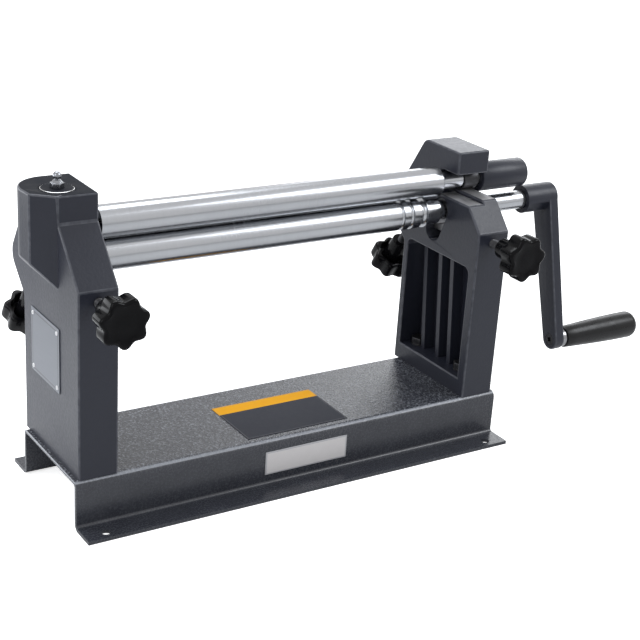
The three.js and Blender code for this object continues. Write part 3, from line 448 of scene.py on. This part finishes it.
# Frame fasteners. Blackened hexagon bolts with plain washers stand on the floor of each casting's
# pocket, and their nuts are under the base's top.
black_oxide = Finish("blackened steel", (0.03, 0.03, 0.033), 0.38, metallic=0.85)
smudge = black_oxide.noise(240, detail=3)
rub = black_oxide.steps(black_oxide.noise(900, detail=1), 0.58, 0.72)
bare = smudge * 0.35 + rub * 0.3
black_oxide.colour(black_oxide.blend(bare, (0.022, 0.022, 0.025), (0.14, 0.14, 0.145)))
black_oxide.rough(black_oxide.steps(smudge, 0.25, 0.75, 0.28, 0.5))
black_oxide.relief(smudge, 0.00004)
fastener_edge = 0.0006

for side in ("left", "right"):
    for place in ("front", "rear"):
        for part in ("bolt", "washer", "nut"):
            node = f"frame_{part}_{side}_{place}"
            made = piece(f"{part}_{side}_{place}", welded(node), [black_oxide], "stand", node)
            soften(made, fastener_edge / 2 if part == "washer" else fastener_edge, segments=2)

# Plates and label. A thin aluminium plate is riveted to the left casting, a white enamelled badge
# is glued to the base's front, and a film with an amber band lies on its top. All three are plain.
plate_line = 0.0009
plate_margin = 0.0022
band_share = 0.225
film_line = 0.0007
plate_edge = 0.0003
badge_edge = 0.0004
film_edge = 0.00015


def inside(finish, node, across, along):
    """How far a point lies inside the edges of a plate, in metres, measured along two axes."""
    low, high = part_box(node)
    apart = finish.tree.nodes.new("ShaderNodeSeparateXYZ")
    finish.tree.links.new(finish.place.socket, apart.inputs[0])
    gaps = []
    for axis in (across, along):
        middle = (low[axis] + high[axis]) / 2
        offset = Value(finish.tree, apart.outputs[axis]) - middle
        distance = offset.sum_with("ABSOLUTE", offset, 0.0)
        gaps.append((high[axis] - low[axis]) / 2 - distance)
    return gaps[0].sum_with("MINIMUM", gaps[0], gaps[1])


plate_metal = Finish("brushed plate", (0.2, 0.21, 0.24), 0.42, metallic=0.6)
brushing = plate_metal.noise(1.0, detail=3, vector=plate_metal.stretched((900, 40, 1400)))
depth = inside(plate_metal, "nameplate", 1, 2)
border = (depth > plate_margin) * (depth < plate_margin + plate_line)
brushed = plate_metal.blend(brushing, (0.13, 0.14, 0.16), (0.19, 0.2, 0.22))
plate_metal.colour(plate_metal.blend(border * 0.8, brushed, (0.08, 0.08, 0.09)))
plate_metal.rough(plate_metal.steps(brushing, 0.2, 0.8, 0.34, 0.5))
plate_metal.relief(brushing - border * 0.6, 0.00003)
plate = piece("name_plate", welded("nameplate"), [plate_metal], "stand", "nameplate")
soften(plate, plate_edge, segments=2)

rivet_metal = Finish("rivet aluminium", (0.6, 0.6, 0.61), 0.3, metallic=0.9)
hammer_mark = rivet_metal.noise(1400, detail=1)
rivet_metal.colour(rivet_metal.blend(hammer_mark, (0.5, 0.5, 0.51), (0.7, 0.7, 0.72)))
rivet_metal.relief(hammer_mark, 0.00005)

enamel = Finish("white enamel", (0.6, 0.58, 0.58), 0.26, coat=0.2)
depth = inside(enamel, "badge_plate", 0, 2)
rim = depth < plate_margin * 0.6
haze = enamel.noise(260, detail=3)
white = enamel.blend(haze, (0.6, 0.58, 0.58), (0.64, 0.62, 0.62))
enamel.colour(enamel.blend(rim, white, (0.42, 0.42, 0.44)))
enamel.rough(enamel.steps(haze, 0.3, 0.7, 0.28, 0.34))
enamel.relief(rim * -1.0 + haze * 0.1, 0.00008)
badge = piece("front_badge", welded("badge_plate"), [enamel], "stand", "badge_plate")
soften(badge, badge_edge, segments=2)

film = Finish("printed film", (0.036, 0.038, 0.048), 0.6, specular=0.1)
low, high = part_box("top_label")
band_start = high.y - band_share * (high.y - low.y)
apart = film.add("ShaderNodeSeparateXYZ", {}, {"Vector": film.place}, 1)
depth = inside(film, "top_label", 0, 1)
outline = (depth > film_line) * (depth < 2 * film_line)
ripple = film.noise(300, detail=3)
panel = film.blend(ripple, (0.03, 0.032, 0.041), (0.046, 0.048, 0.059))
amber = film.blend(ripple, (0.8, 0.37, 0.008), (0.88, 0.42, 0.012))
printed = film.blend(apart > band_start, panel, amber)
film.colour(film.blend(outline * 0.25, printed, (0.3, 0.3, 0.3)))
film.rough(film.steps(ripple, 0.3, 0.7, 0.55, 0.7))
film.relief(ripple, 0.00003)
label = piece("top_film", welded("top_label"), [film], "stand", "top_label")
soften(label, film_edge, segments=2)

# Bearing blocks and wedges. Cast iron blocks slide in the frames' guides and carry the rolls, and
# a wedge under each front block is drawn and pushed by its screw. Their faces are machined.
block_iron = Finish("machined iron", (0.17, 0.17, 0.175), 0.42, metallic=0.9)
mill_mark = block_iron.noise(1.0, detail=2, vector=block_iron.stretched((260, 1100, 260)))
block_iron.colour(block_iron.blend(mill_mark, (0.12, 0.12, 0.125), (0.24, 0.24, 0.25)))
block_iron.rough(block_iron.steps(mill_mark, 0.2, 0.8, 0.34, 0.52))
block_iron.relief(mill_mark, 0.00004)
block_edge = 0.0005
carried = {
    "front_block": "lower_carriage",
    "rear_block": "rear_carriage",
    "front_wedge": "front_wedge",
}

for start, body in carried.items():
    for side in ("left", "right"):
        node = f"{start}_{side}"
        rider = node if start == "front_wedge" else body
        made = piece(f"{node}_iron", welded(node), [block_iron], rider, node)
        soften(made, block_edge, segments=2)

# Rolls. Steel bars turned and ground to one diameter. The two lower ones have three wire grooves
# and a turned line near their right ends, and the lower roll goes on as the crank shaft.
frame_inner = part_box("right_frame")[0].x
frame_inner_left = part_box("left_frame")[1].x
roll_left_gap = 0.003
roll_right_gap = 0.0052
lower_roll_gap = 0.0064
roll_chamfer = 0.003
journal_radius = 0.0075
shaft_radius = 0.0083
groove_insets = {0.0489: 0.0034, 0.0395: 0.004, 0.0278: 0.006}
groove_depth_share = 0.55
groove_steps = 8
collar_inset = 0.0209
collar_radius = 0.0112
collar_gap = 0.0008
collar_chamfer = 0.001
turned_steps = 96


def spun(profile, place=Matrix(), steps=turned_steps):
    """Turns a profile of (distance along Z, radius) points about Z, then puts it in its place."""
    shell = bmesh.new()
    points = [shell.verts.new((radius, 0, along)) for along, radius in profile]
    lines = [shell.edges.new(pair) for pair in zip(points, points[1:])]
    bmesh.ops.spin(shell, geom=points + lines, cent=(0, 0, 0), axis=(0, 0, 1), angle=2 * math.pi,
                   steps=steps, use_merge=True)
    bmesh.ops.remove_doubles(shell, verts=shell.verts, dist=1e-6)
    bmesh.ops.recalc_face_normals(shell, faces=shell.faces)
    bmesh.ops.transform(shell, matrix=place, verts=shell.verts)
    return shell


def middle(node):
    """The middle of a CAD node's box."""
    low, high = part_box(node)
    return (low + high) / 2


def along_rolls(node):
    """A place with Z along the rolls and the node's own axis as its centre line."""
    centre = middle(node)
    return Matrix.Translation((0, centre.y, centre.z)) @ Matrix.Rotation(math.pi / 2, 4, "Y")


def ground_steel(name, light, dark):
    """Ground steel with fine lines round the bar and a little handling haze."""
    steel = Finish(name, light, 0.2, metallic=1.0)
    line = steel.noise(1.0, detail=3, roughness=0.7, vector=steel.stretched((2600, 45, 45)))
    haze = steel.noise(14, detail=4)
    steel.colour(steel.blend(line * 0.6 + haze * 0.3, light, dark))
    steel.rough(steel.steps(line * 0.5 + haze * 0.5, 0.3, 0.7, 0.15, 0.3))
    steel.relief(line, 0.000006)
    return steel


roll_steel = ground_steel("ground roll steel", (0.5, 0.51, 0.53), (0.29, 0.3, 0.32))


def roll_body(start, end, radius):
    """The grooved body of a roll, from its left end to its right end."""
    outline = [(start, radius - roll_chamfer), (start + roll_chamfer, radius)]
    for inset, width in groove_insets.items():
        centre = frame_inner - inset + width / 2
        for step in range(groove_steps + 1):
            angle = math.pi * step / groove_steps
            drop = width * groove_depth_share * math.sin(angle)
            outline.append((centre - width / 2 * math.cos(angle), radius - drop))
    collar = frame_inner - collar_inset
    step_end = collar + collar_gap
    outline += [(collar, radius), (collar, collar_radius - collar_gap)]
    outline += [(step_end, collar_radius - collar_gap), (step_end, collar_radius)]
    outline += [(end - collar_chamfer, collar_radius), (end, collar_radius - collar_chamfer)]
    return outline


def roll_radius(node):
    """Half the height of a CAD node that lies along the rolls."""
    low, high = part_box(node)
    return (high.z - low.z) / 2


centre_drill = 0.0028
body_start = frame_inner_left + roll_left_gap
body_end = frame_inner - roll_right_gap
low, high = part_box("rear_roll")
rear_profile = [(low.x, 0), (low.x, journal_radius), (body_start, journal_radius)]
rear_profile += roll_body(body_start, body_end, roll_radius("rear_roll"))
rear_profile += [(body_end, journal_radius), (high.x, journal_radius), (high.x, 0)]
made = piece("rear_roll_bar", spun(rear_profile, along_rolls("rear_roll")), [roll_steel],
             "rear_roll", "rear_roll")

low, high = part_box("lower_roll")
lower_end = frame_inner - lower_roll_gap
lower_profile = [(low.x, 0), (low.x, shaft_radius), (body_start, shaft_radius)]
lower_profile += roll_body(body_start, lower_end, roll_radius("lower_roll"))
lower_profile += [(lower_end, shaft_radius), (high.x - collar_chamfer, shaft_radius)]
lower_profile += [(high.x, shaft_radius - collar_chamfer), (high.x, centre_drill)]
lower_profile += [(high.x - centre_drill, centre_drill / 3), (high.x - 2 * centre_drill, 0)]
made = piece("lower_roll_bar", spun(lower_profile, along_rolls("lower_roll")), [roll_steel],
             "lower_roll_and_crank", "lower_roll")

# Adjusting screws. Blackened steel studs, whose threads are closed rings. A button at the inner end
# of each front screw draws its wedge, and the tip of each rear screw pushes its block up the
# slanted guide.
screw_radius = 0.004
screw_root = 0.0034
thread_pitch = 0.00125
screw_steps = 32
thread_smooth = 25
screw_steel = ground_steel("screw steel", (0.5, 0.5, 0.5), (0.34, 0.34, 0.35))
rear_lean = math.radians(33)
rear_line = Vector((0, math.sin(rear_lean), -math.cos(rear_lean)))
tail_drop = 0.0123
tip_chamfer = 0.001
button_radius = 0.005
button_thickness = 0.0034
neck_radius = 0.0026
neck_length = 0.0042


def threaded(start, end):
    """A zigzag outline between two places along a screw."""
    count = int((end - start) / thread_pitch)
    outline = []
    for turn in range(count):
        root = start + turn * thread_pitch
        outline += [(root, screw_root), (root + thread_pitch / 2, screw_radius)]
    return outline + [(end, screw_root)]


def facing(place, outward):
    """A place with Z pointing outward, X along the rolls, and its origin at a given point."""
    across = Vector((1, 0, 0))
    upward = outward.cross(across)
    turn = Matrix((across, upward, outward)).transposed().to_4x4()
    return Matrix.Translation(place) @ turn


toward_front = Vector((0, -1, 0))
for side in ("left", "right"):
    node = f"front_screw_{side}"
    low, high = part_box(node)
    length = high.y - low.y
    inner_end = Vector((middle(node).x, high.y, middle(node).z))
    stem = button_thickness + neck_length
    outline = [(0, 0), (0, button_radius), (button_thickness, button_radius)]
    outline += [(button_thickness, neck_radius), (stem, neck_radius)]
    outline += [*threaded(stem, length), (length, 0)]
    stud = spun(outline, facing(inner_end, toward_front), screw_steps)
    made = piece(f"front_stud_{side}", stud, [black_oxide], node, node, smooth=thread_smooth)

    node = f"rear_screw_{side}"
    roll_centre = middle("rear_roll")
    tip = Vector((middle(node).x, roll_centre.y, roll_centre.z)) + rear_line * tail_drop
    low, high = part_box(node)
    rise = high.z - low.z - 2 * screw_radius * math.sin(rear_lean) + tip_chamfer
    length = rise / math.cos(rear_lean) - tip_chamfer
    outline = [(0, 0), (0, screw_radius - tip_chamfer), *threaded(tip_chamfer, length), (length, 0)]
    stud = spun(outline, facing(tip, rear_line), screw_steps)
    made = piece(f"rear_stud_{side}", stud, [black_oxide], node, node, smooth=thread_smooth)

# Knobs. Gloss black moulded plastic with seven lobes, rounded rims, a shallow dish in the face and
# a hollow back with the hub in its middle, pressed on to the screws.
knob_radius = 0.0197
knob_length = 0.0338
knob_neck = 0.0175
hub_end_radius = 0.0085
hub_root_radius = 0.01
hollow_radius = 0.0142
hollow_depth = 0.009
hollow_round = 0.0006
rim_round = 0.0028
face_dish = 0.0009
lobe_count = 7
lobe_depth = 0.0034
lobe_start = 0.011
steps_per_lobe = 16
rim_steps = 6
knob_bore_depth = 0.004
knob_bore_radius = screw_radius + 0.0002
hub_chamfer = 0.0008
hub_draft = 0.0004
dish_rim = 0.0148
dish_edge = 0.0118
dish_middle = 0.006
knob_turns = {
    "front_knob_left": math.radians(14),
    "front_knob_right": math.radians(6),
    "rear_knob_left": math.radians(47),
    "rear_knob_right": math.radians(26),
}
rear_knob_drop = 0.0505

knob_plastic = Finish("gloss black plastic", (0.002, 0.002, 0.0025), 0.12, specular=0.09)
flow = knob_plastic.noise(160, detail=3)
dust = knob_plastic.steps(knob_plastic.noise(1800, detail=1), 0.68, 0.78)
dulled = flow * 0.15 + dust * 0.08
knob_plastic.colour(knob_plastic.blend(dulled, (0.002, 0.002, 0.0025), (0.02, 0.02, 0.022)))
knob_plastic.rough(knob_plastic.steps(flow, 0.3, 0.7, 0.08, 0.18))
knob_plastic.relief(flow, 0.00006)


def lobed_knob(turn, place):
    """Spins the knob's outline, then draws in the hollows between its lobes."""
    rim = knob_neck + rim_round
    face = knob_length - rim_round
    bottom = knob_neck + hollow_depth
    outline = [(knob_bore_depth, knob_bore_radius), (0, knob_bore_radius)]
    outline += [(0, hub_end_radius - hub_chamfer), (hub_chamfer, hub_end_radius)]
    outline += [(knob_neck, hub_root_radius - hub_draft), (bottom - hollow_round, hub_root_radius)]
    outline += [(bottom, hub_root_radius + hollow_round)]
    outline += [(bottom, hollow_radius - 2 * hollow_round)]
    outline += [(bottom - hollow_round, hollow_radius - hollow_round)]
    outline += [(knob_neck + hollow_round, hollow_radius)]
    outline += [(knob_neck, hollow_radius + hollow_round)]
    for corner, sign in ((rim, -1), (face, 1)):
        arc = [math.radians(90 * step / rim_steps) for step in range(rim_steps + 1)]
        if sign > 0:
            arc.reverse()
        for angle in arc:
            reach = knob_radius - rim_round + rim_round * math.sin(angle)
            outline.append((corner + sign * rim_round * math.cos(angle), reach))
    outline += [(knob_length, dish_rim), (knob_length - face_dish, dish_edge)]
    outline += [(knob_length - face_dish, dish_middle), (knob_length - face_dish / 2, 0)]
    shell = spun(outline, steps=lobe_count * steps_per_lobe)
    for vertex in shell.verts:
        radius = math.hypot(vertex.co.x, vertex.co.y)
        if radius < lobe_start or vertex.co.z < knob_neck - rim_round:
            continue
        angle = math.atan2(vertex.co.y, vertex.co.x)
        hollow = (1 - math.cos(lobe_count * (angle - turn))) / 2
        share = min(1, max(0, (radius - hollow_radius) / (knob_radius - rim_round - hollow_radius)))
        pull = 1 - lobe_depth * hollow * share / radius
        vertex.co.x *= pull
        vertex.co.y *= pull
    bmesh.ops.transform(shell, matrix=place, verts=shell.verts)
    return shell


for node, turn in knob_turns.items():
    screw = node.replace("knob", "screw")
    centre = middle(screw)
    if node.startswith("front"):
        hub = Vector((centre.x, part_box(node)[1].y, centre.z))
        place = facing(hub, toward_front)
    else:
        roll_centre = middle("rear_roll")
        hub = Vector((centre.x, roll_centre.y, roll_centre.z)) + rear_line * rear_knob_drop
        place = facing(hub, rear_line)
    made = piece(f"{node}_plastic", lobed_knob(turn, place), [knob_plastic], screw, node)

# Crank. The hub and the tapering arm are one casting with rounded edges, painted like the frames,
# with the frames' lighter edge paint on those edges, mostly a painted highlight.
# A set screw holds it on the shaft, and the grip turns on a spindle riveted into the arm's end.
crank_edge = 0.0014
spindle_edge = 0.0003
washer_edge = 0.0006
arm_shell = welded("crank_arm")
weigh_runs(arm_shell, longest_bore, widest_rib)
arm = piece("crank_casting", arm_shell, [casting_paint, edge_wear_and_highlight],
            "lower_roll_and_crank", "crank_arm")
soften(arm, crank_edge, edge_finish=1, weighted=True)
for node in ("crank_set_screw", "grip_spindle"):
    made = piece(f"{node}_steel", welded(node), [black_oxide], "lower_roll_and_crank", node)
    soften(made, spindle_edge, segments=2)
washer_steel = ground_steel("washer steel", (0.3, 0.3, 0.31), (0.2, 0.2, 0.21))
washer = piece("grip_washer_steel", welded("grip_washer"), [washer_steel],
               "lower_roll_and_crank", "grip_washer")
soften(washer, washer_edge)

# Grip. Satin black plastic, turned, that swells from its neck to a rounded free end.
grip_plastic = Finish("satin black grip", (0.004, 0.004, 0.0045), 0.28, specular=0.25)
flow = grip_plastic.noise(120, detail=3)
rub = grip_plastic.steps(grip_plastic.noise(900, detail=2), 0.6, 0.75)
dulled = flow * 0.2 + rub * 0.15
grip_plastic.colour(grip_plastic.blend(dulled, (0.0035, 0.0035, 0.004), (0.03, 0.03, 0.032)))
grip_plastic.rough(grip_plastic.steps(flow, 0.3, 0.7, 0.24, 0.36))
grip_plastic.relief(flow, 0.00005)
grip_neck_radius = 0.0099
grip_radius = 0.0124
grip_bore = 0.0053
grip_bore_depth = 0.076
grip_round = 0.0015
grip_end_round = 0.0075
grip_end_crown = 0.0012
low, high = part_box("crank_grip")
grip_length = high.x - low.x
arc_steps = 8
corner_share = 0.3
corner = grip_round * corner_share
outline = [(grip_bore_depth, 0), (grip_bore_depth, grip_bore), (0, grip_bore)]
outline += [(0, grip_neck_radius - grip_round), (corner, grip_neck_radius - corner)]
outline += [(grip_round, grip_neck_radius)]
swell = grip_length - grip_end_round - grip_end_crown
for step in range(1, arc_steps + 1):
    share = step / arc_steps
    ease = math.sin(share * math.pi / 2)
    radius = grip_neck_radius + (grip_radius - grip_neck_radius) * ease
    outline.append((grip_round + (swell - grip_round) * share, radius))
for step in range(1, arc_steps + 1):
    angle = math.pi / 2 * step / arc_steps
    inward = grip_end_round * (1 - math.cos(angle))
    outline.append((swell + grip_end_round * math.sin(angle), grip_radius - inward))
outline.append((grip_length, 0))
grip_place = Matrix.Translation((low.x, middle("crank_grip").y, middle("crank_grip").z))
grip_place = grip_place @ Matrix.Rotation(math.pi / 2, 4, "Y")
made = piece("grip_plastic", spun(outline, grip_place), [grip_plastic], "crank_grip", "crank_grip")

# Upper roll. It turns in the swivel post at its left end, which has a darker matt paint and bright
# steel edges, and in a bush at its right end. A painted sleeve outside the right frame is the
# handle that swings it out.
low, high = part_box("upper_roll")
groove_middle = middle("keeper_pin").x
groove_half = 0.0023
groove_floor = 0.0059
upper_radius = roll_radius("upper_roll")
groove_start = groove_middle - groove_half
groove_end = groove_middle + groove_half
chamfer_radius = upper_radius - roll_chamfer
upper_profile = [(low.x, 0), (low.x, journal_radius), (groove_start, journal_radius)]
upper_profile += [(groove_start, groove_floor), (groove_end, groove_floor)]
upper_profile += [(groove_end, journal_radius), (body_start, journal_radius)]
upper_profile += [(body_start, chamfer_radius), (body_start + roll_chamfer, upper_radius)]
upper_profile += [(body_end - roll_chamfer, upper_radius), (body_end, chamfer_radius)]
upper_profile += [(body_end, journal_radius), (high.x, journal_radius), (high.x, 0)]
made = piece("upper_roll_bar", spun(upper_profile, along_rolls("upper_roll")), [roll_steel],
             "upper_roll", "upper_roll")

low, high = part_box("release_handle")
sleeve_radius = roll_radius("release_handle")
sleeve_bore = 0.0078
sleeve_wall = 0.004
sleeve_round = 0.0016
post_edge = 0.0004
sleeve = [(high.x - sleeve_wall, 0), (high.x - sleeve_wall, sleeve_bore), (low.x, sleeve_bore)]
corner = sleeve_round * corner_share
sleeve += [(low.x, sleeve_radius - sleeve_round), (low.x + corner, sleeve_radius - corner)]
sleeve += [(low.x + sleeve_round, sleeve_radius), (high.x - sleeve_round, sleeve_radius)]
sleeve += [(high.x - corner, sleeve_radius - corner)]
sleeve += [(high.x, sleeve_radius - sleeve_round), (high.x, 0)]
made = piece("release_sleeve", spun(sleeve, along_rolls("release_handle")), [casting_paint],
             "upper_roll", "release_handle")
for node, body in (("handle_pin", "upper_roll"), ("upper_bush", "upper_swivel")):
    made = piece(f"{node}_steel", welded(node), [black_oxide], body, node)
    soften(made, post_edge, segments=2)
post = piece("swivel_post_steel", welded("swivel_post"), [darker_matt_top_paint, screw_steel],
             "upper_swivel", "swivel_post")
soften(post, post_edge, segments=2, edge_finish=1)

# Grease nipple. Dull plated steel, screwed into the post: a hexagon, a body that tapers up from
# it, and a ball end.
nipple_steel = ground_steel("plated nipple steel", (0.34, 0.35, 0.37), (0.16, 0.17, 0.19))
low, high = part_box("grease_nipple")
hex_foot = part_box("swivel_post")[1].z
hex_height = 0.004
hex_width = 0.0094
shoulder = 0.0043
neck = 0.0028
ball = 0.0032
ball_steps = 12
ball_start = 2
stem_radius = 0.003
nipple_edge = 0.0003
corner_radius = hex_width / math.sqrt(3)
axis = middle("grease_nipple")
outline = [(low.z, 0), (low.z, stem_radius), (hex_foot, stem_radius)]
outline += [(hex_foot + hex_height, shoulder), (high.z - 2 * ball, neck)]
ball_middle = high.z - ball
for step in range(ball_start, ball_steps + 1):
    angle = math.pi * step / ball_steps
    outline.append((ball_middle - ball * math.cos(angle), max(0, ball * math.sin(angle))))
shell = spun(outline, Matrix.Translation((axis.x, axis.y, 0)), screw_steps)
bmesh.ops.create_cone(
    shell, cap_ends=True, segments=6, radius1=corner_radius, radius2=corner_radius,
    depth=hex_height, matrix=Matrix.Translation((axis.x, axis.y, hex_foot + hex_height / 2)))
made = piece("nipple_plated", shell, [nipple_steel], "upper_swivel", "grease_nipple")
soften(made, nipple_edge, segments=2, limit=45)

# The keeper pin and the rivets keep their CAD shape and take a finish of their own.
kept = {"keeper_pin": screw_steel}
for corner in ("front", "rear"):
    for level in ("lower", "upper"):
        kept[f"nameplate_rivet_{corner}_{level}"] = rivet_metal
for node, finish in kept.items():
    for material_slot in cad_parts[node].material_slots:
        material_slot.material = finish.material
